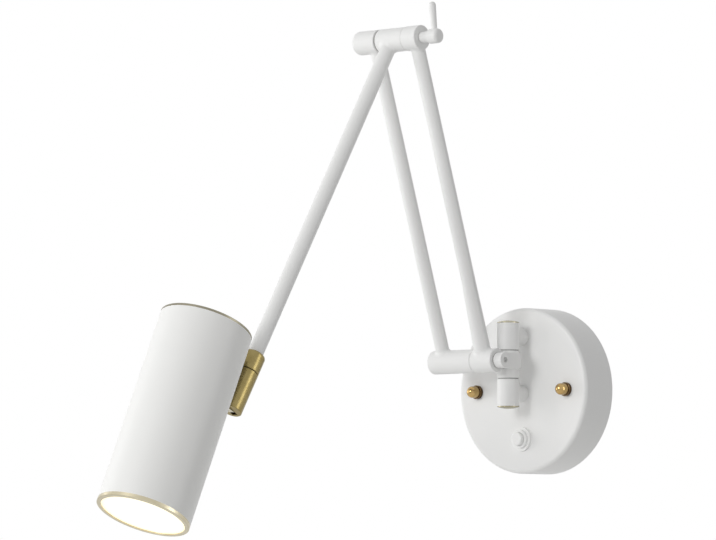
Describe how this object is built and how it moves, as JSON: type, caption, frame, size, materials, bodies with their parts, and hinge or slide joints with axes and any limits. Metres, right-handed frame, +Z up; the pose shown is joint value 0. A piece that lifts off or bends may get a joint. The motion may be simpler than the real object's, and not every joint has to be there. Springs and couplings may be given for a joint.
{
  "type": "articulating wall lamp",
  "caption": "Wall lamp with a round canopy, vertical hinge, two-rod lower arm, lever-clamped elbow, single-rod forearm and tilting cylindrical head on a brass swivel joint.",
  "frame": {"origin": "centre of the canopy's back plane on the wall, which is the centre of the bracket's screw pattern and of its cable hole", "axes": "+Y into the wall, -Y into the room, +X to the right seen from the room, +Z up"},
  "size_m": [0.1221, 0.4175, 0.3798],
  "materials": {
    "white_paint": "fine matt white powder coat",
    "head_paint": "fine matt white powder coat",
    "polished_brass": "polished",
    "satin_brass": "satin, turned",
    "zinc_steel": "zinc plated",
    "grey_nylon": "moulded nylon",
    "white_plastic": "moulded, semi gloss",
    "contact_brass": "stamped",
    "opal_acrylic": "opal, lit warm white",
    "reflector_aluminium": "bright anodised",
    "board_aluminium": "white solder mask",
    "led_phosphor": "silicone with phosphor",
    "cast_aluminium": "die cast"
  },
  "bodies": {
    "base": {"wall_bracket": "zinc_steel", "bracket_studs": "zinc_steel", "canopy": "white_paint", "cap_nuts": "polished_brass", "upper_knuckle": "white_paint", "lower_knuckle": "white_paint", "knuckle_washers": "zinc_steel", "knuckle_nuts": "zinc_steel", "hinge_pin": "zinc_steel", "hinge_washers": "grey_nylon", "hinge_cap_top": "polished_brass", "hinge_cap_bottom": "polished_brass", "switch_housing": "white_plastic", "switch_nut": "zinc_steel", "switch_spring": "zinc_steel", "switch_blades": "contact_brass", "led_driver": "white_plastic", "terminal_block": "white_plastic", "terminal_screws": "zinc_steel"},
    "button": {"push_button": "white_plastic"},
    "swivel": {"swivel_knuckle": "white_paint", "pivot_bolt": "white_paint", "pivot_washer": "grey_nylon", "pivot_spring_washer": "zinc_steel", "pivot_nut": "zinc_steel"},
    "lower_arm": {"cross_tube": "white_paint", "cross_tube_cap": "white_paint", "cross_hub": "white_paint", "cross_spigot": "zinc_steel", "left_rod": "white_paint", "right_rod": "white_paint", "left_elbow_hub": "white_paint", "elbow_cap": "white_paint", "right_elbow_hub": "white_paint", "elbow_axle": "zinc_steel", "elbow_washers": "grey_nylon"},
    "lever": {"lever_hub": "white_paint", "lever_pin": "white_paint"},
    "forearm": {"forearm_hub": "white_paint", "forearm_tube": "white_paint", "forearm_collar": "satin_brass"},
    "wrist": {"swivel_barrel": "satin_brass", "swivel_screw": "zinc_steel", "tilt_pin": "satin_brass"},
    "head": {"neck": "satin_brass", "neck_nut": "zinc_steel", "head_shell": "head_paint", "top_ring": "satin_brass", "head_lid": "head_paint", "bezel": "satin_brass", "lens": "opal_acrylic", "reflector": "reflector_aluminium", "led_board": "board_aluminium", "led_chip": "led_phosphor", "heat_sink": "cast_aluminium"}
  },
  "joints": [
    {"name": "arm_swing", "type": "hinge", "parent": "base", "child": "swivel", "pos_m": [0, -0.0452, 0.0185], "axis": [0, 0, -1], "range_deg": [-90, 20]},
    {"name": "lower_arm_tilt", "type": "hinge", "parent": "swivel", "child": "lower_arm", "pos_m": [0, -0.0623, 0.0209], "axis": [1, 0, 0], "range_deg": [-20, 60]},
    {"name": "elbow_fold", "type": "hinge", "parent": "lower_arm", "child": "forearm", "pos_m": [-0.0295, -0.13787, 0.24806], "axis": [-1, 0, 0], "range_deg": [-40, 110]},
    {"name": "elbow_lock", "type": "hinge", "parent": "lower_arm", "child": "lever", "pos_m": [0.0076, -0.13787, 0.24806], "axis": [1, 0, 0], "range_deg": [0, 120]},
    {"name": "head_swivel", "type": "hinge", "parent": "forearm", "child": "wrist", "pos_m": [-0.0295, -0.28668, 0.00617], "axis": [0, -0.524, -0.8517], "range_deg": [-170, 170]},
    {"name": "head_tilt", "type": "hinge", "parent": "wrist", "child": "head", "pos_m": [-0.0295, -0.30072, -0.01666], "axis": [1, 0, 0], "range_deg": [-10, 80]},
    {"name": "push_button", "type": "slide", "parent": "base", "child": "button", "axis": [0, 1, 0], "range_m": [0, 0.0025], "stiffness_N_per_m": 500, "springref_m": -0.003, "deforming": ["switch_spring"]}
  ]
}
